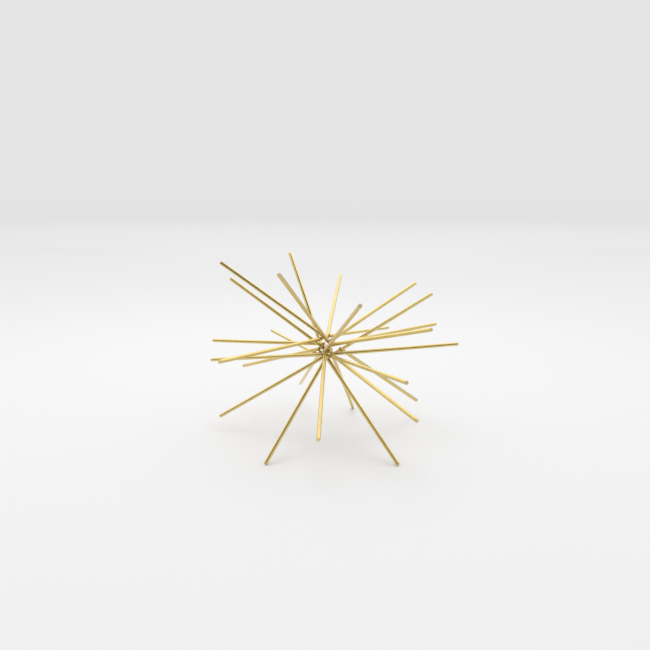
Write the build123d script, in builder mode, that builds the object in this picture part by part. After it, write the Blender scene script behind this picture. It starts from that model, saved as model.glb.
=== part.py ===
"""A tabletop starburst of brass rods.

Twenty-six straight spokes, all cut from the same round brass bar, are brazed
together by their inner ends into a loose knot.  Three of them point down and
out and are the feet; the others bristle out in every direction.  The knot is
deliberately untidy: each spoke passes its neighbours with a sliver of a gap,
and braze metal fills the slivers and lies in lumps between the inner ends.

Frame: millimetres, +Z up, the rest plane at z = 0.  The front is -Y and the
right-hand side is +X.  The origin is the middle of the overall footprint.
"""

import os
from collections import namedtuple
from itertools import combinations
from math import asin, atan, cos, degrees, hypot, radians, sin, sqrt

from build123d import *

# ---------------------------------------------------------------- dimensions
BAR_DIAMETER = 3.2        # 1/8 in round brass bar
BAR_RADIUS = BAR_DIAMETER / 2
SPOKE_LENGTH = 116.0      # every spoke is cut to the same length
END_CHAMFER = 0.2         # burr broken off both cut ends
KNOT_HEIGHT = 79.0        # centre of the brazed knot above the table

BRAZE_REACH = 0.7         # widest gap between two bars that braze bridges
BEAD_RADIUS = 1.2         # half the width of the bead left in such a gap
KNOT_RADIUS = 18.0        # bars that only pass close outside this aren't joined

# The braze also lies in two lumps: one fills the hollow in the middle of the
# knot, and one has sagged out of it at the front.  Each is placed from the
# knot's centre.
Lump = namedtuple("Lump", "radius right back up")

LUMPS = {
    "middle": Lump(4.6, 0.2, 0.5, -0.5),
    "front": Lump(3.0, -0.3, -4.6, -4.2),
}

# A spoke is placed by the way it points and by where it starts.
#   azimuth    degrees round from +X, anticlockwise seen from above
#   elevation  degrees above the horizontal
#   side       its axis passes this far to the left of the knot's centre
#   lift       and this far above it, both square to the spoke
#   start      distance from there to the inner cut end
Spoke = namedtuple("Spoke", "azimuth elevation side lift start")

SPOKES = {
    # the crown: everything that reaches upwards
    "upper_spoke_left": Spoke(166.5, 33.5, 0, 8, 6.5),
    "upper_spoke_rear_left": Spoke(148, 28, 1.5, 0, 4),
    "upper_spoke_front_left": Spoke(-113, 35.5, 1, 5.5, 5),
    "upper_spoke_steep": Spoke(112, 43, 2, -5.5, 5),
    "upper_spoke_rear": Spoke(82.5, 23.5, 1, 6.5, 6),
    "upper_spoke_front": Spoke(-75, 28, -3.5, -1.5, 1),
    "upper_spoke_rear_right": Spoke(40, 22, 0.5, 5, 6),
    "upper_spoke_right": Spoke(29.5, 23.5, 5, -9, 8),
    "upper_spoke_front_right": Spoke(-47, 14, 1.5, 4, 2),
    # the belt: close to level
    "middle_spoke_rear": Spoke(58.5, -5, 0, 12, 1.5),
    "middle_spoke_rear_right": Spoke(28, 5, 2.5, 2.5, 3),
    "middle_spoke_right": Spoke(12, 2, -1, -4, 5),
    "middle_spoke_front_right": Spoke(-61.5, 1, -1, -4.5, 6.5),
    "middle_spoke_front_left": Spoke(-132.5, -1, -5.5, 9.5, 0.5),
    "middle_spoke_left_low": Spoke(156, -7.5, 3.5, -3.5, 3.5),
    "middle_spoke_left_high": Spoke(156, -3, -3, 4.5, 3.5),
    "middle_spoke_rear_left": Spoke(114, 1, 7, -5, 7.5),
    # the skirt: pointing down, but ending clear of the table
    "lower_spoke_rear_right": Spoke(38, -33.5, -4.5, 6, 8.5),
    "lower_spoke_front_right": Spoke(-55, -16, 1.5, -2.5, 5.5),
    "lower_spoke_front": Spoke(-92.5, -20.5, -2, -1, 6.5),
    "lower_spoke_left": Spoke(170.5, -31.5, -5.5, -4.5, 5.5),
    "lower_spoke_rear": Spoke(102, -28, 5, 0, 7),
    "lower_spoke_rear_left": Spoke(133, -17, 5, 2, 5),
}

# A foot is placed the same way, except that its elevation follows from the
# height of the knot: its cut end has to come down on the table.
Foot = namedtuple("Foot", "azimuth side lift start")

FEET = {
    "foot_front_left": Foot(-123.5, -1.5, -6, 1),
    "foot_front_right": Foot(-51, -3, -3, 5),
    "foot_rear": Foot(75, -2.5, 0, 4),
}


# ------------------------------------------------------------------- placing
def elevation_of(foot):
    """Degrees above the horizontal that put the foot's lower rim on z = 0.

    The rim is the outer edge of the chamfer, at distance `along` down the
    foot and `below` under the knot's centre line, so the height of the knot
    equals along * sin(down) + below * cos(down).
    """
    along = foot.start + SPOKE_LENGTH - END_CHAMFER
    below = BAR_RADIUS - foot.lift
    down = asin(KNOT_HEIGHT / hypot(along, below)) - atan(below / along)
    return -degrees(down)


def directions(spoke):
    """Unit vectors along the spoke, to its left and square up from it."""
    turn = radians(spoke.azimuth)
    rise = radians(spoke.elevation)
    along = Vector(cos(rise) * cos(turn), cos(rise) * sin(turn), sin(rise))
    side = Vector(-sin(turn), cos(turn), 0)
    return along, side, along.cross(side)


def inner_end(spoke, centre):
    """Middle of the spoke's inner cut face, for a knot centred at centre."""
    along, side, up = directions(spoke)
    return centre + side * spoke.side + up * spoke.lift + along * spoke.start


def reach(spoke, axis):
    """Lowest and highest coordinate of the spoke's outer end along one axis."""
    slope = list(directions(spoke)[0])[axis]
    square = sqrt(1 - slope**2)
    start = list(inner_end(spoke, Vector(0, 0, 0)))[axis]
    wall = start + (SPOKE_LENGTH - END_CHAMFER) * slope
    face = start + SPOKE_LENGTH * slope
    wall_half = BAR_RADIUS * square
    face_half = (BAR_RADIUS - END_CHAMFER) * square
    low = min(wall - wall_half, face - face_half)
    high = max(wall + wall_half, face + face_half)
    return low, high


def footprint_middle(spokes, axis):
    """Middle of the overall extent along one axis, with the knot at zero."""
    spans = [reach(spoke, axis) for spoke in spokes]
    return (min(low for low, high in spans) + max(high for low, high in spans)) / 2


def nearest_points(first, second):
    """The points on two spokes' axes where they pass closest to each other."""
    start_a = inner_end(first, KNOT)
    start_b = inner_end(second, KNOT)
    along_a = directions(first)[0]
    along_b = directions(second)[0]
    between = start_a - start_b
    cosine = along_a.dot(along_b)
    toward_a = along_a.dot(between)
    toward_b = along_b.dot(between)
    travel_a = (cosine * toward_b - toward_a) / (1 - cosine**2)
    travel_a = min(max(travel_a, 0), SPOKE_LENGTH)
    travel_b = cosine * travel_a + toward_b
    if travel_b < 0 or travel_b > SPOKE_LENGTH:
        travel_b = min(max(travel_b, 0), SPOKE_LENGTH)
        travel_a = min(max(cosine * travel_b - toward_a, 0), SPOKE_LENGTH)
    return start_a + along_a * travel_a, start_b + along_b * travel_b


for foot_name, foot in FEET.items():
    SPOKES[foot_name] = Spoke(foot.azimuth, elevation_of(foot), foot.side, foot.lift, foot.start)

# the knot stands off the origin so that the footprint is centred on it
KNOT = Vector(
    -footprint_middle(SPOKES.values(), 0),
    -footprint_middle(SPOKES.values(), 1),
    KNOT_HEIGHT,
)


# -------------------------------------------------------------------- spokes
def spoke_solid(spoke):
    """One cut length of bar, its ends square with the burr broken off."""
    along, side, _ = directions(spoke)
    cut_face = Plane(origin=inner_end(spoke, KNOT), x_dir=side, z_dir=along)
    with BuildPart() as bar:
        with BuildSketch(cut_face):
            Circle(BAR_RADIUS)
        extrude(amount=SPOKE_LENGTH)
        chamfer(bar.edges().filter_by(GeomType.CIRCLE), END_CHAMFER)
    return bar.part


bars = {name: spoke_solid(spoke) for name, spoke in SPOKES.items()}

# --------------------------------------------------------------------- braze
# Every bead starts as a short peg from one bar's axis to the other's at the
# place where they pass closest.  Cutting the bars out of it leaves the saddle
# of metal that capillary action pulls into the gap.  The lumps start as balls
# and are cut the same way.
crossings = []
for first, second in combinations(SPOKES.values(), 2):
    point_a, point_b = nearest_points(first, second)
    gap = (point_b - point_a).length - BAR_DIAMETER
    from_knot = (point_a - KNOT).length
    if gap < BRAZE_REACH and from_knot < KNOT_RADIUS:
        crossings.append((point_a, point_b))

with BuildPart() as braze_beads:
    for point_a, point_b in crossings:
        with BuildSketch(Plane(origin=point_a, z_dir=point_b - point_a)):
            Circle(BEAD_RADIUS)
        extrude(amount=(point_b - point_a).length)
    for lump in LUMPS.values():
        with Locations(KNOT + Vector(lump.right, lump.back, lump.up)):
            Sphere(lump.radius)
    for bar in bars.values():
        add(bar, mode=Mode.SUBTRACT)

# -------------------------------------------------------------------- export
os.makedirs("parts", exist_ok=True)
for name, bar in bars.items():
    bar.label = name
    export_step(bar, f"parts/{name}.step")

braze_beads.part.label = "braze_beads"
export_step(braze_beads.part, "parts/braze_beads.step")

print(f"{len(bars)} spokes, {len(crossings)} brazed crossings")
print(f"knot at {KNOT.X:.2f}, {KNOT.Y:.2f}, {KNOT.Z:.2f}")
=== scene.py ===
# %% [markdown]
# # A tabletop starburst of brazed brass bars
#
# The real thing is a handful of round brass bar, cut into equal spokes and
# brazed together by their inner ends into an untidy knot. Three spokes are
# its feet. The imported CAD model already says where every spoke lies, so this
# file reads the places from it and makes what CAD leaves out: bars that have
# been drawn, cut and handled, and braze metal that has run and set.

# %% Load the fixed frame
from itertools import combinations
from math import pi, radians

import bpy
import numpy as np
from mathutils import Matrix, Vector


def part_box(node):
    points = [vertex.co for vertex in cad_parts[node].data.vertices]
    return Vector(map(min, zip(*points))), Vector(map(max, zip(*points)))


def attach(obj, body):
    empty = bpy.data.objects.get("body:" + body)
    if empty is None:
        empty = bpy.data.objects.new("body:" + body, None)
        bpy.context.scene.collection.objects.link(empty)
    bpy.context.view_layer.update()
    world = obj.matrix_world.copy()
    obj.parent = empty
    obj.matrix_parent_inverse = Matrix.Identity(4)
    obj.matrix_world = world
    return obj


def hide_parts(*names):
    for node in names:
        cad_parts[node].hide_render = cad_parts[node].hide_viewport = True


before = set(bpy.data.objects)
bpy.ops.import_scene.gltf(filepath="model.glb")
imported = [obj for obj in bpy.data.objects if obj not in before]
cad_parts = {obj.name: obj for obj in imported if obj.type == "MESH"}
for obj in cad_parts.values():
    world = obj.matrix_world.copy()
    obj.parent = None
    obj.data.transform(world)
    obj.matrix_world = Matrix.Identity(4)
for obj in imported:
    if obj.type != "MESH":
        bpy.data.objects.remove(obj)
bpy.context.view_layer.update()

MM = 0.001  # Blender works in metres, and a maker thinks in millimetres


scene = bpy.context.scene

# %% [markdown]
# ## Reading the bars
#
# Each CAD spoke is a plain round bar, so its line can be found from its
# vertices alone: their mean is the bar's middle, and the direction in which
# they spread most is its axis. The alternative is to repeat the angles of the
# construction script here, but then two files would have to agree for ever.

# %% The line, length and radius of every bar
braze_low, braze_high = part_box("braze_beads")
knot = np.array((braze_low + braze_high) / 2)  # near enough to tell inner from outer ends


def vertices_of(node):
    """A CAD node's vertices as an array with one row per vertex."""
    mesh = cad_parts[node].data
    flat = np.empty(len(mesh.vertices) * 3)
    mesh.vertices.foreach_get("co", flat)
    return flat.reshape(-1, 3)


def bar_line(node):
    """Inner end, unit direction outwards, length and radius of one bar.

    The axis is the first principal direction of the centred vertices. The
    length is their spread along it, and the radius their furthest distance
    from it.
    """
    points = vertices_of(node)
    middle = (points.min(0) + points.max(0)) / 2
    axis = np.linalg.svd(points - points.mean(0), full_matrices=False)[2][0]
    if axis @ (middle - knot) < 0:
        axis = -axis
    along = (points - middle) @ axis
    across = points - middle - along[:, None] * axis
    length = along.max() - along.min()
    radius = np.linalg.norm(across, axis=1).max()
    return middle - axis * length / 2, axis, length, radius


bar_names = sorted(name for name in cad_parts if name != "braze_beads")
bars = {name: bar_line(name) for name in bar_names}
BAR_LENGTH = float(np.mean([bar[2] for bar in bars.values()]))
BAR_RADIUS = float(np.mean([bar[3] for bar in bars.values()]))
print(len(bars), "bars,", round(BAR_LENGTH / MM, 1), "mm long,",
      round(2 * BAR_RADIUS / MM, 2), "mm thick")

# %% [markdown]
# ## Putting a grid of points into a mesh
#
# Every bar is a surface with two parameters: how far along its outline, and
# how far round. A grid of rows and columns holds it, and its two end rows
# close on a single point each.

# %% From a grid to a closed mesh object


def shade_smooth(mesh):
    """Smooth shading on every face, set in one call."""
    mesh.polygons.foreach_set("use_smooth", np.ones(len(mesh.polygons), bool))


def closed_tube_faces(rows, columns):
    """Faces of a grid of rows by columns that closes round, with a pole at each end.

    Vertex 0 is the first pole, then come the rows in turn, and the last
    vertex is the second pole.
    """
    here = np.arange(columns)
    after = (here + 1) % columns
    start = 1 + np.arange(rows - 1)[:, None] * columns
    walls = np.stack([start + here, start + after,
                      start + columns + after, start + columns + here], -1)
    last = 1 + (rows - 1) * columns
    pole = last + columns
    first_cap = np.stack([np.zeros(columns, int), 1 + after, 1 + here], -1)
    last_cap = np.stack([np.full(columns, pole), last + here, last + after], -1)
    return walls.reshape(-1, 4), first_cap, last_cap


def new_piece(name, points, faces):
    """A smooth mesh object at the origin, with its place in its vertices."""
    mesh = bpy.data.meshes.new(name)
    mesh.from_pydata(points.tolist(), [], faces)
    shade_smooth(mesh)
    piece = bpy.data.objects.new(name, mesh)
    scene.collection.objects.link(piece)
    return piece


print("grid tools ready")

# %% [markdown]
# ## A bar that has been drawn, cut and handled
#
# The CAD bar is a perfect cylinder. A real one's burr is rounded over rather
# than chamfered. Its cut face is faintly dished, and falls away by a hair to
# each side of the line where the cut began. It has been bent and straightened
# by hand, so a highlight wanders a little along it. All of that fits in one
# outline, carried round the bar's axis. A Bevel modifier on a cylinder would
# give the rounded rim, but neither the bow nor the falling-away of the cut.

# %% The outline of a bar
LIP = 0.26 * MM           # radius of the rounded rim
DISH = 0.04 * MM          # how far the middle of a cut face is sunk
BOW = 0.16 * MM           # how far a bar strays from straight at mid length
CUT_SLANT = 0.02          # slope of a cut face to each side of its middle line
FACE_RINGS = np.array([0.35, 0.7, 0.97])  # rings on a cut face, as shares of its radius
LIP_ROWS = 6              # rows round the quarter circle of the lip
BAR_COLUMNS = 40          # points round the bar
WALL_ROWS = 40            # rows along its length
GOLDEN_ANGLE = 2.399963   # radians; turns each bar's bow and slant differently


def bar_outline():
    """Radius and distance along the bar of each row, from one end to the other.

    A cut face runs out to the lip, the lip turns a quarter circle into the
    wall, and the far end is the same thing mirrored.
    """
    face = FACE_RINGS * (BAR_RADIUS - LIP)
    turn = np.linspace(0, pi / 2, LIP_ROWS)
    lip_radius = BAR_RADIUS - LIP + LIP * np.sin(turn)
    lip_along = LIP * (1 - np.cos(turn))
    wall = np.linspace(LIP, BAR_LENGTH - LIP, WALL_ROWS)[1:-1]
    radius = np.concatenate([face, lip_radius, np.full(wall.size, BAR_RADIUS),
                             lip_radius[::-1], face[::-1]])
    along = np.concatenate([dished(face), lip_along, wall,
                            BAR_LENGTH - lip_along[::-1], BAR_LENGTH - dished(face)[::-1]])
    return radius, along


def dished(radius):
    """Depth of the cut face at a radius: deepest in the middle, none at the lip."""
    return DISH * (1 - (radius / (BAR_RADIUS - LIP)) ** 2)


def side_vectors(axis):
    """Two unit vectors square to the axis and to each other."""
    helper = np.eye(3)[np.abs(axis).argmin()]
    across = np.cross(axis, helper)
    across /= np.linalg.norm(across)
    return across, np.cross(axis, across)


print(bar_outline()[0].size, "rows of", BAR_COLUMNS, "points for each bar")

# %% Carry the outline round each axis


def bar_points(start, axis, number):
    """Points of one bar in its own frame and in the object's frame.

    In its own frame a point is (radius cos, radius sin, along). Near each end
    along also moves inwards by the slant of the cut times the distance from
    the middle line of the face. The bow moves a point sideways by 4 t (1 - t)
    times its greatest value, with t the share of the length.
    """
    radius, along = bar_outline()
    around = np.linspace(0, 2 * pi, BAR_COLUMNS, endpoint=False)
    facing = number * GOLDEN_ANGLE
    x = radius[:, None] * np.cos(around)
    y = radius[:, None] * np.sin(around)
    near_end = np.minimum(along, BAR_LENGTH - along)[:, None] < 2 * LIP
    slant = CUT_SLANT * (x * np.cos(facing) + y * np.sin(facing)) * near_end
    z = along[:, None] + np.abs(slant) * np.where(along < BAR_LENGTH / 2, 1, -1)[:, None]
    grid = np.stack([x, y, np.broadcast_to(z, x.shape)], -1).reshape(-1, 3)
    own = np.vstack([[0, 0, DISH], grid, [0, 0, BAR_LENGTH - DISH]])
    share = own[:, 2] / BAR_LENGTH
    bow = BOW * 4 * share * (1 - share)
    first, second = side_vectors(axis)
    lean = np.cos(facing) * first + np.sin(facing) * second
    placed = (start + own[:, :1] * first + own[:, 1:2] * second
              + own[:, 2:] * axis + bow[:, None] * lean)
    return own, placed


def keep_own_frame(mesh, own):
    """Each vertex keeps its place in its own bar, in millimetres, for the finish."""
    attribute = mesh.attributes.new("bar_place", "FLOAT_VECTOR", "POINT")
    attribute.data.foreach_set("vector", (own / MM).astype(np.float32).ravel())


def make_bar(name, number):
    """One finished bar that stands for its CAD node."""
    start, axis, _, _ = bars[name]
    own, placed = bar_points(start, axis, number)
    rows = bar_outline()[0].size
    walls, first_cap, last_cap = closed_tube_faces(rows, BAR_COLUMNS)
    faces = walls.tolist() + first_cap.tolist() + last_cap.tolist()
    piece = new_piece("bar_" + name, placed, faces)
    keep_own_frame(piece.data, own)
    between_rings = (FACE_RINGS.size - 1) * BAR_COLUMNS
    is_cut = np.zeros(len(faces), np.int32)
    is_cut[:between_rings] = 1
    is_cut[len(walls) - between_rings:] = 1  # and both caps, which come last
    piece.data.materials.append(None)
    piece.data.materials.append(None)
    piece.data.polygons.foreach_set("material_index", is_cut)
    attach(piece, "root")
    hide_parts(name)
    return piece


bar_pieces = [make_bar(name, number) for number, name in enumerate(bar_names)]
print(len(bar_pieces), "bars made,", len(bar_pieces[0].data.polygons), "faces each")

# %% [markdown]
# ## Braze metal, as a distance field
#
# Molten braze is drawn into the crevices between bars that nearly touch, and
# it sets as smooth fillets. A fillet between dozens of bars at odd angles has
# no two-parameter form, so this one piece is made another way: for every
# point of a fine grid the distance to each bar is known exactly, a soft
# minimum of those distances rounds off every crevice, and the surface where
# it is zero is the metal. Metaballs would give a similar skin, but they
# can't take the bars' exact radius. Two lumps lie in the knot as well: one
# fills the hollow between the inner ends, and one has sagged out of it.

# %% Where the bars pass close to each other
BRAZE_REACH = 0.7 * MM    # widest gap that braze bridges
KNOT_REACH = 18 * MM      # bars that only pass close further out aren't joined


def nearest_points(first, second):
    """The points on two bars' axes where they pass closest, kept on the bars."""
    start_a, along_a = first[:2]
    start_b, along_b = second[:2]
    between = start_a - start_b
    cosine = along_a @ along_b
    toward_a, toward_b = along_a @ between, along_b @ between
    travel_a = (cosine * toward_b - toward_a) / (1 - cosine**2)
    travel_a = np.clip(travel_a, 0, BAR_LENGTH)
    travel_b = cosine * travel_a + toward_b
    if not 0 <= travel_b <= BAR_LENGTH:
        travel_b = np.clip(travel_b, 0, BAR_LENGTH)
        travel_a = np.clip(cosine * travel_b - toward_a, 0, BAR_LENGTH)
    return start_a + along_a * travel_a, start_b + along_b * travel_b


crossings = []
for first, second in combinations(bars.values(), 2):
    point_a, point_b = nearest_points(first, second)
    gap = np.linalg.norm(point_b - point_a) - 2 * BAR_RADIUS
    middle = (point_a + point_b) / 2
    if gap < BRAZE_REACH and np.linalg.norm(middle - knot) < KNOT_REACH:
        crossings.append(middle)
crossings = np.array(crossings)
print(len(crossings), "brazed crossings")

# %% The distance field
CELL = 0.2 * MM           # grid spacing
FILLET = 0.32 * MM        # softness of the minimum, which sets the fillets' radius
BEAD_REACH = 3.0 * MM     # braze stays this near a crossing
SUNK = 0.03 * MM          # where there is no crevice the skin hides inside the bar
TAPER = 0.35 * MM         # how much deeper it sinks towards the end of its reach
LUMP_REACH = 1.0 * MM     # the skin of a lump stays this near its ball
FAR_OFF = 30              # past this many softnesses a bar adds nothing to the minimum

low = crossings.min(0) - BEAD_REACH - 2 * CELL
high = crossings.max(0) + BEAD_REACH + 2 * CELL
counts = np.ceil((high - low) / CELL).astype(int)
axes = [low[i] + CELL * np.arange(counts[i]) for i in range(3)]
where = np.stack(np.meshgrid(*axes, indexing="ij"), -1)


def distance_to_bar(bar):
    """Distance from every grid point to one bar's surface, negative inside."""
    start, axis, length, radius = bar
    from_start = where - start
    along = from_start @ axis
    across = np.linalg.norm(from_start - along[..., None] * axis, axis=-1) - radius
    beyond = np.maximum(-along, along - length)
    outside = np.hypot(np.maximum(across, 0), np.maximum(beyond, 0))
    return outside + np.minimum(np.maximum(across, beyond), 0)


def soft_minimum(distances, softness):
    """-softness * log(sum of exp(-distance / softness)), added up one shape at a time."""
    total = np.zeros(where.shape[:3])
    for distance in distances:
        total += np.exp(-np.clip(distance / softness, -FAR_OFF, FAR_OFF))
    return -softness * np.log(total)


print("field of", where.shape[:3], "points")

# %% Bars, lumps, ripples and the reach of the braze
KNOT_CENTRE = np.array([-4.54, 2.04, 79.0]) * MM  # the point the bars are laid round
LUMPS = (                 # radius, then the place from the knot's centre, in mm
    (4.6, (0.2, 0.5, -0.5)),
    (3.0, (-0.3, -4.6, -4.2)),
)
RIPPLE_SPACING = 1.4 * MM
RIPPLE_HEIGHT = 0.10 * MM


def ripples(points):
    """Waves frozen into the metal: three slanted sines, so that no two beads match."""
    x, y, z = np.moveaxis(points - knot, -1, 0) * (2 * pi / RIPPLE_SPACING)
    first = np.sin(x + 0.7 * z)
    second = np.sin(0.8 * y - 0.6 * x + 1.0)
    third = np.sin(z + 0.5 * y + 2.0)
    return (first + second + third) / 3


def distance_to_nearest(places):
    """Distance from every grid point to the nearest of some places."""
    nearest = np.full(where.shape[:3], np.inf)
    for place in places:
        nearest = np.minimum(nearest, np.linalg.norm(where - place, axis=-1))
    return nearest


bar_distances = [distance_to_bar(bar) for bar in bars.values()
                 if np.linalg.norm(crossings - bar[0], axis=1).min() < KNOT_REACH]
lump_distances = [np.linalg.norm(where - KNOT_CENTRE - np.array(place) * MM, axis=-1) - radius * MM
                  for radius, place in LUMPS]
to_lump = np.minimum(*lump_distances)
metal = soft_minimum(bar_distances + lump_distances, FILLET)
on_braze = np.clip((np.minimum.reduce(bar_distances) - metal) / FILLET, 0, 1)
metal -= RIPPLE_HEIGHT * on_braze * ripples(where)

to_crossing = distance_to_nearest(crossings)
fade = np.clip(np.minimum(to_crossing / BEAD_REACH, 1 + to_lump / BEAD_REACH), 0, 1) ** 2
metal += SUNK + TAPER * fade
metal = np.maximum(metal, np.minimum(to_crossing - BEAD_REACH, to_lump - LUMP_REACH))
print("metal fills", round(float((metal < 0).mean() * 100), 1), "per cent of the field")

# %% [markdown]
# ## From the field to a skin
#
# Surface nets is the simplest way to skin a field: every grid cell that the
# surface passes through gets one vertex, at the mean of the points where the
# surface cuts the cell's edges, and every grid edge that the surface cuts
# gets one face, joining the four cells round it. Marching cubes follows sharp
# corners a little better, but set metal has none.

# %% Surface nets


def cut_places(field, axis):
    """Which grid edges along one axis the surface cuts, and where, from 0 to 1."""
    before = np.take(field, range(field.shape[axis] - 1), axis)
    after = np.take(field, range(1, field.shape[axis]), axis)
    cut = (before < 0) != (after < 0)
    place = np.where(cut, before / np.where(cut, before - after, 1), 0)
    return cut, place, before < 0


def cell_vertices(field):
    """One vertex for each cell that the surface crosses, in grid steps, and its number."""
    cells = tuple(n - 1 for n in field.shape)
    total = np.zeros(cells + (3,))
    count = np.zeros(cells)
    for axis in range(3):
        cut, place, _ = cut_places(field, axis)
        others = [i for i in range(3) if i != axis]
        for shift_a in (0, 1):
            for shift_b in (0, 1):
                part = [slice(None)] * 3
                part[others[0]] = slice(shift_a, shift_a + cells[others[0]])
                part[others[1]] = slice(shift_b, shift_b + cells[others[1]])
                here = cut[tuple(part)]
                total[..., axis] += np.where(here, place[tuple(part)], 0)
                total[..., others[0]] += here * shift_a
                total[..., others[1]] += here * shift_b
                count += here
    used = count > 0
    number = np.full(cells, -1)
    number[used] = np.arange(used.sum())
    return np.argwhere(used) + total[used] / count[used][:, None], number


def edge_faces(field, number, axis):
    """One face for each cut grid edge along an axis, turned to face outwards."""
    cut, _, leaving = cut_places(field, axis)
    inner = [slice(None)] * 3
    others = [i for i in range(3) if i != axis]
    for i in others:
        inner[i] = slice(1, -1)
    edges = np.argwhere(cut[tuple(inner)])
    outwards = leaving[tuple(inner)][tuple(edges.T)]
    edges[:, others] += 1
    step_a = np.zeros(3, int)
    step_b = np.zeros(3, int)
    step_a[(axis + 1) % 3] = 1
    step_b[(axis + 2) % 3] = 1
    around = [edges - step_a - step_b, edges - step_b, edges, edges - step_a]
    faces = np.stack([number[tuple(cell.T)] for cell in around], -1)
    faces[~outwards] = faces[~outwards][:, ::-1]
    return faces


net, cell_number = cell_vertices(metal)
net_faces = np.vstack([edge_faces(metal, cell_number, axis) for axis in range(3)])
print(len(net), "vertices and", len(net_faces), "faces of braze")

# %% The braze as a piece
braze = new_piece("braze_run", low + net * CELL, net_faces.tolist())
relax = braze.modifiers.new("relax", "SMOOTH")
relax.factor = 0.5
relax.iterations = 2
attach(braze, "root")
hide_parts("braze_beads")
print("braze spans", np.round((net.max(0) - net.min(0)) * CELL / MM, 1), "mm")

# %% [markdown]
# ## Brass
#
# Bright-drawn brass is a metal shader with a warm colour. Drawing leaves fine
# lines along the bar, handling leaves faint cloudy tarnish, and the torch
# leaves a browner blush near the knot. A saw or shear leaves the cut faces
# rougher and less yellow. Each of these is a pattern in the bar's own frame,
# so it follows every bar wherever it points.

# %% Colour and node helpers


def linear(hex_colour):
    """An sRGB hex colour as the linear RGBA that shaders want."""
    parts = np.array([int(hex_colour[i:i + 2], 16) for i in (1, 3, 5)]) / 255
    curved = np.where(parts <= 0.04045, parts / 12.92, ((parts + 0.055) / 1.055) ** 2.4)
    return (*curved.tolist(), 1.0)


def add_node(tree, kind, inputs=(), **settings):
    """Adds one node, sets its properties, then sets or links its inputs.

    inputs maps a socket's name or number to a value, or to another node's
    output socket.
    """
    node = tree.nodes.new(kind)
    for key, value in settings.items():
        setattr(node, key, value)
    for key, value in dict(inputs).items():
        if isinstance(value, bpy.types.NodeSocket):
            tree.links.new(value, node.inputs[key])
        else:
            node.inputs[key].default_value = value
    return node


def new_material(name):
    """An empty node material and the two nodes that every one of them ends in."""
    material = bpy.data.materials.new(name)
    material.use_nodes = True
    tree = material.node_tree
    tree.nodes.clear()
    shader = add_node(tree, "ShaderNodeBsdfPrincipled")
    add_node(tree, "ShaderNodeOutputMaterial", {"Surface": shader.outputs["BSDF"]})
    return material, tree, shader


def between(tree, amount, first, second):
    """A colour that goes from first to second as amount goes from 0 to 1."""
    mix = add_node(tree, "ShaderNodeMix", data_type="RGBA")
    for socket, value in ((mix.inputs[0], amount), (mix.inputs[6], first), (mix.inputs[7], second)):
        if isinstance(value, bpy.types.NodeSocket):
            tree.links.new(value, socket)
        else:
            socket.default_value = value
    return mix.outputs[2]


BRASS = "#E0CA84"          # bright-drawn brass under clear lacquer
TARNISH = "#D2B86E"        # the same, where hands have dulled it
TORCH_BLUSH = "#B89A5E"    # oxide left by the torch beside the knot
CUT_BRASS = "#E4D6B6"      # sawn brass, a little pinker
print("brass is", [round(c, 3) for c in linear(BRASS)[:3]], "in linear light")

# %% Drawn brass bar
DIE_LINE_SPACING = 0.35    # mm; real ones are finer, drawn as coarse as can show
DIE_LINE_LENGTH = 40.0     # mm that one line runs before it fades
CLOUD_SIZE = 14.0          # mm across a patch of tarnish
BLUSH_LENGTH = 9.0         # mm that the torch's blush reaches from the inner end
DRAWN_ROUGHNESS = (0.06, 0.09)  # between the die lines, and on them
LACQUER = 0.25             # a thin clear coat, which whitens the sharpest highlights
LACQUER_ROUGHNESS = 0.08

drawn_brass, tree, shader = new_material("drawn_brass")
place = add_node(tree, "ShaderNodeAttribute", attribute_name="bar_place").outputs["Vector"]
stretched = add_node(tree, "ShaderNodeMapping", {
    "Vector": place,
    "Scale": (1 / DIE_LINE_SPACING, 1 / DIE_LINE_SPACING, 1 / DIE_LINE_LENGTH),
})
lines = add_node(tree, "ShaderNodeTexNoise",
                 {"Vector": stretched.outputs[0], "Scale": 1.0, "Detail": 2.0})
cloud_place = add_node(tree, "ShaderNodeTexCoord").outputs["Object"]
clouds = add_node(tree, "ShaderNodeTexNoise",
                  {"Vector": cloud_place, "Scale": 1 / (CLOUD_SIZE * MM), "Detail": 3.0})
cloudiness = add_node(tree, "ShaderNodeMapRange", {
    "Value": clouds.outputs["Fac"], "From Min": 0.4, "From Max": 0.75, "To Max": 0.6})
along = add_node(tree, "ShaderNodeSeparateXYZ", {"Vector": place}).outputs["Z"]
blush = add_node(tree, "ShaderNodeMapRange", {
    "Value": along, "From Min": 0.0, "From Max": BLUSH_LENGTH, "To Min": 0.35, "To Max": 0.0},
    interpolation_type="SMOOTHSTEP")
tarnished = between(tree, cloudiness.outputs[0], linear(BRASS), linear(TARNISH))
blushed = between(tree, blush.outputs[0], tarnished, linear(TORCH_BLUSH))
roughness = add_node(tree, "ShaderNodeMapRange", {
    "Value": lines.outputs["Fac"], "From Min": 0.3, "From Max": 0.7,
    "To Min": DRAWN_ROUGHNESS[0], "To Max": DRAWN_ROUGHNESS[1]})
bump = add_node(tree, "ShaderNodeBump", {
    "Height": lines.outputs["Fac"], "Strength": 0.03, "Distance": 0.01 * MM})
tree.links.new(blushed, shader.inputs["Base Color"])
tree.links.new(roughness.outputs[0], shader.inputs["Roughness"])
tree.links.new(bump.outputs["Normal"], shader.inputs["Normal"])
shader.inputs["Metallic"].default_value = 1.0
shader.inputs["Coat Weight"].default_value = LACQUER
shader.inputs["Coat Roughness"].default_value = LACQUER_ROUGHNESS
print("material", drawn_brass.name, "has", len(tree.nodes), "nodes")

# %% Sawn brass, for the cut faces
SAW_LINE_SPACING = 0.3     # mm between the marks of one tooth and the next
BANDS_PER_UNIT = 3         # the wave texture draws about this many bands at scale 1
SAWN_ROUGHNESS = 0.34

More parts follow.
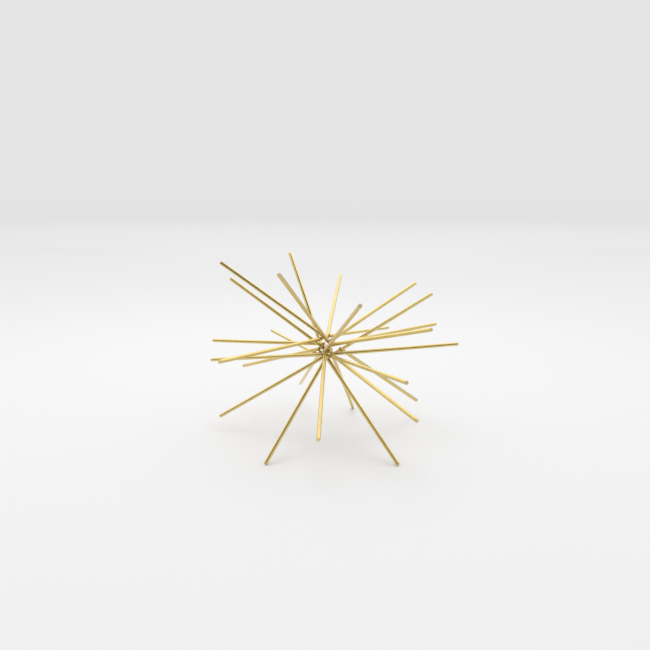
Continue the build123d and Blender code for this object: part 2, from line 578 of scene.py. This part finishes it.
sawn_brass, tree, shader = new_material("sawn_brass")
place = add_node(tree, "ShaderNodeAttribute", attribute_name="bar_place").outputs["Vector"]
marks = add_node(tree, "ShaderNodeTexWave", {
    "Vector": place, "Scale": 1 / SAW_LINE_SPACING / BANDS_PER_UNIT,
    "Distortion": 1.5, "Detail": 2.0},
    wave_type="BANDS", bands_direction="X")
grime = add_node(tree, "ShaderNodeMapRange", {
    "Value": marks.outputs["Fac"], "To Min": 0.0, "To Max": 0.3})
worn = between(tree, grime.outputs[0], linear(CUT_BRASS), linear(TORCH_BLUSH))
bump = add_node(tree, "ShaderNodeBump", {
    "Height": marks.outputs["Fac"], "Strength": 0.35, "Distance": 0.03 * MM})
tree.links.new(worn, shader.inputs["Base Color"])
tree.links.new(bump.outputs["Normal"], shader.inputs["Normal"])
shader.inputs["Metallic"].default_value = 1.0
shader.inputs["Roughness"].default_value = SAWN_ROUGHNESS
print("material", sawn_brass.name, "has", len(tree.nodes), "nodes")

# %% Braze metal, as it ran
GRAIN_SIZE = 0.7           # mm across a dimple in the set metal
STAIN_SIZE = 2.1           # mm across a patch where flux has stained it
BRAZE_ROUGHNESS = 0.2

set_braze, tree, shader = new_material("set_braze")
place = add_node(tree, "ShaderNodeTexCoord").outputs["Object"]
dimples = add_node(tree, "ShaderNodeTexNoise",
                   {"Vector": place, "Scale": 1 / (GRAIN_SIZE * MM), "Detail": 2.0})
stain = add_node(tree, "ShaderNodeTexNoise",
                 {"Vector": place, "Scale": 1 / (STAIN_SIZE * MM), "Detail": 2.0})
stained = add_node(tree, "ShaderNodeMapRange", {
    "Value": stain.outputs["Fac"], "From Min": 0.35, "From Max": 0.7, "To Max": 0.5})
colour = between(tree, stained.outputs[0], linear(BRASS), linear(TORCH_BLUSH))
bump = add_node(tree, "ShaderNodeBump", {
    "Height": dimples.outputs["Fac"], "Strength": 0.3, "Distance": 0.08 * MM})
tree.links.new(colour, shader.inputs["Base Color"])
tree.links.new(bump.outputs["Normal"], shader.inputs["Normal"])
shader.inputs["Metallic"].default_value = 1.0
shader.inputs["Roughness"].default_value = BRAZE_ROUGHNESS
print("material", set_braze.name, "has", len(tree.nodes), "nodes")

# %% Put the finishes on
for piece in bar_pieces:
    piece.data.materials[0] = drawn_brass
    piece.data.materials[1] = sawn_brass
braze.data.materials.append(set_braze)
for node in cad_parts.values():
    node.data.materials.clear()
    node.data.materials.append(set_braze if node.name == "braze_beads" else drawn_brass)
print("finishes on", len(bar_pieces) + 1, "pieces")

# %% [markdown]
# ## The table, the light and the camera
#
# Polished metal looks like what stands round it, so the surroundings are part
# of the finish. A white table shows in the underside of every bar. The bright
# top of every bar is a painted highlight from a glowing ceiling sheet that only
# reflections see. The dark line between the two is painted shade: the room behind
# the camera is unlit, and dark sheets that only reflections see stand in for it,
# as dark cards called flags do in a studio. Neither sheet lights anything, so the
# table is lit only by the room and by one soft lamp.

# %% The table top
TABLE_HALF = 40.0          # metres; wide enough to have no edge in sight
TABLE_COLOUR = "#EFEFF0"


def level_rectangle(left, right, front, back, height):
    """The four corners of a level rectangle, anticlockwise from the front left."""
    return [(left, front, height), (right, front, height),
            (right, back, height), (left, back, height)]


def sheets(name, *quads):
    """One object made of separate four-cornered faces."""
    points = np.array(quads, float).reshape(-1, 3)
    faces = np.arange(len(points)).reshape(-1, 4).tolist()
    return new_piece(name, points, faces)


table = sheets("table_top", level_rectangle(-TABLE_HALF, TABLE_HALF, -TABLE_HALF, TABLE_HALF, 0))
paper, tree, shader = new_material("matt_paper")
shader.inputs["Base Color"].default_value = linear(TABLE_COLOUR)
shader.inputs["Roughness"].default_value = 0.9
table.data.materials.append(paper)
print("table reaches", TABLE_HALF, "m each way")

# %% Painted shade: the dark room, which only reflections see
# colour of the painted shade that the bars reflect where the room is unlit
ROOM_SHADE_COLOUR = "#4E483F"
ROOM_NEAR = -0.32          # the painted shade on the floor begins here, in metres from the origin
ROOM_FAR = -0.90           # and ends at the dark wall
ROOM_LEFT = -2.2
ROOM_RIGHT = 1.0
ROOM_HEIGHT = 0.60
ROOM_CLEAR = 0.002         # the sheet of painted shade hovers just over the table
SHADE_SHEET_HEIGHT = 1.2          # a sheet of painted shade hangs over the front left
SHADE_SHEET_LEFT = -0.62
SHADE_SHEET_RIGHT = 0.35
SHADE_SHEET_FRONT = -0.90
SHADE_SHEET_BACK = 0.08
SHADE_STRIP_BACK = 2.5        # two strips of painted shade stand low where the far wall would be, left and right
SHADE_STRIP_GAP = 0.8
SHADE_STRIP_END = 5.0
SHADE_STRIP_HEIGHT = 0.45


def upright_rectangle(left, right, back, low, high):
    """The four corners of a rectangle that stands facing the front."""
    return [(left, back, low), (right, back, low), (right, back, high), (left, back, high)]


def only_in_reflections(sheet):
    """Hides a sheet from everything but glossy rays, so it lights nothing."""
    sheet.visible_camera = False
    sheet.visible_shadow = False
    sheet.visible_diffuse = False


# Painted shade: dark sheets seen only in reflections, put where the room is unlit, draw the dark
# line along the bars
dark_sheets = [
    sheets("room_shade_sheets",
           level_rectangle(ROOM_LEFT, ROOM_RIGHT, ROOM_FAR, ROOM_NEAR, ROOM_CLEAR),
           upright_rectangle(ROOM_LEFT, ROOM_RIGHT, ROOM_FAR, ROOM_CLEAR, ROOM_HEIGHT)),
    sheets("front_shade_sheet",
           level_rectangle(SHADE_SHEET_LEFT, SHADE_SHEET_RIGHT, SHADE_SHEET_FRONT, SHADE_SHEET_BACK, SHADE_SHEET_HEIGHT)),
    sheets("far_shade_strips",
           upright_rectangle(-SHADE_STRIP_END, -SHADE_STRIP_GAP, SHADE_STRIP_BACK, 0, SHADE_STRIP_HEIGHT),
           upright_rectangle(SHADE_STRIP_GAP, SHADE_STRIP_END, SHADE_STRIP_BACK, 0, SHADE_STRIP_HEIGHT)),
]
room_shade_material, tree, shader = new_material("painted_room_shade")
shader.inputs["Base Color"].default_value = linear(ROOM_SHADE_COLOUR)
shader.inputs["Roughness"].default_value = 1.0
for sheet in dark_sheets:
    sheet.data.materials.append(room_shade_material)
    only_in_reflections(sheet)
print(len(dark_sheets), "dark sheets in place")

# %% Painted highlight: a glowing ceiling that only reflections see
CEILING_HEIGHT = 1.4
CEILING_HALF = 3.0
CEILING_FRONT = -0.05      # it starts just in front of the knot and runs far behind
CEILING_BACK = 7.0
CEILING_GLOW = 1.45
CEILING_COLOUR = "#FFFDF8"

# Painted highlight: this sheet glows though it is no lamp, lights nothing, and only glossy rays see
# it on the bars' tops
ceiling = sheets("painted_highlight_ceiling", level_rectangle(
    -CEILING_HALF, CEILING_HALF, CEILING_FRONT, CEILING_BACK, CEILING_HEIGHT))
glow, tree, shader = new_material("painted_highlight_glow")
shader.inputs["Base Color"].default_value = linear("#000000")
shader.inputs["Specular IOR Level"].default_value = 0.0
shader.inputs["Emission Color"].default_value = linear(CEILING_COLOUR)
shader.inputs["Emission Strength"].default_value = CEILING_GLOW
ceiling.data.materials.append(glow)
only_in_reflections(ceiling)
print("ceiling glows at", CEILING_GLOW)

# %% The backdrop and the room's own light
BACKDROP = "#E4E4E5"       # what the camera and reflections see past the table
ROOM_LIGHT = 0.89          # what lights everything else; it makes the far table match

world = bpy.data.worlds.new("studio")
world.use_nodes = True
scene.world = world
tree = world.node_tree
tree.nodes.clear()
path = add_node(tree, "ShaderNodeLightPath")
seen = add_node(tree, "ShaderNodeMath", {
    0: path.outputs["Is Camera Ray"], 1: path.outputs["Is Glossy Ray"]}, operation="MAXIMUM")
seen = add_node(tree, "ShaderNodeMath", {
    0: seen.outputs[0], 1: path.outputs["Is Transmission Ray"]}, operation="MAXIMUM")
backdrop = add_node(tree, "ShaderNodeBackground", {"Color": linear(BACKDROP), "Strength": 1.0})
ambient = add_node(tree, "ShaderNodeBackground",
                   {"Color": linear("#FFFFFF"), "Strength": ROOM_LIGHT})
choice = add_node(tree, "ShaderNodeMixShader", {
    0: seen.outputs[0], 1: ambient.outputs[0], 2: backdrop.outputs[0]})
add_node(tree, "ShaderNodeOutputWorld", {"Surface": choice.outputs[0]})
print("world lights at", ROOM_LIGHT)

# %% The lamp overhead
LAMP_SIZE = 0.5            # metres along each side
LAMP_PLACE = Vector((-0.10, 0.30, 1.05))
LAMP_POWER = 2.0           # watts

lamp_data = bpy.data.lights.new("overhead_softbox", "AREA")
lamp_data.shape = "SQUARE"
lamp_data.size = LAMP_SIZE
lamp_data.energy = LAMP_POWER
lamp = bpy.data.objects.new("overhead_softbox", lamp_data)
lamp.location = LAMP_PLACE
lamp.rotation_euler = (Vector(knot) - LAMP_PLACE).to_track_quat("-Z", "Y").to_euler()
scene.collection.objects.link(lamp)
lamp.visible_glossy = False  # the glowing ceiling sheet paints the highlights instead
print("lamp of", LAMP_POWER, "W")

# %% The camera
CAMERA_PLACE = (-0.0067, -0.6164, 0.2073)  # metres
CAMERA_TILT = 9.77         # degrees below level
CAMERA_LENS = 39.9         # mm, on a 36 mm sensor

camera_data = bpy.data.cameras.new("camera")
camera_data.sensor_width = 36.0
camera_data.lens = CAMERA_LENS
camera = bpy.data.objects.new("camera", camera_data)
camera.location = CAMERA_PLACE
camera.rotation_euler = (radians(90 - CAMERA_TILT), 0, 0)
scene.collection.objects.link(camera)
scene.camera = camera
scene.view_settings.view_transform = "Standard"
print("camera at", [round(c, 4) for c in camera.location])
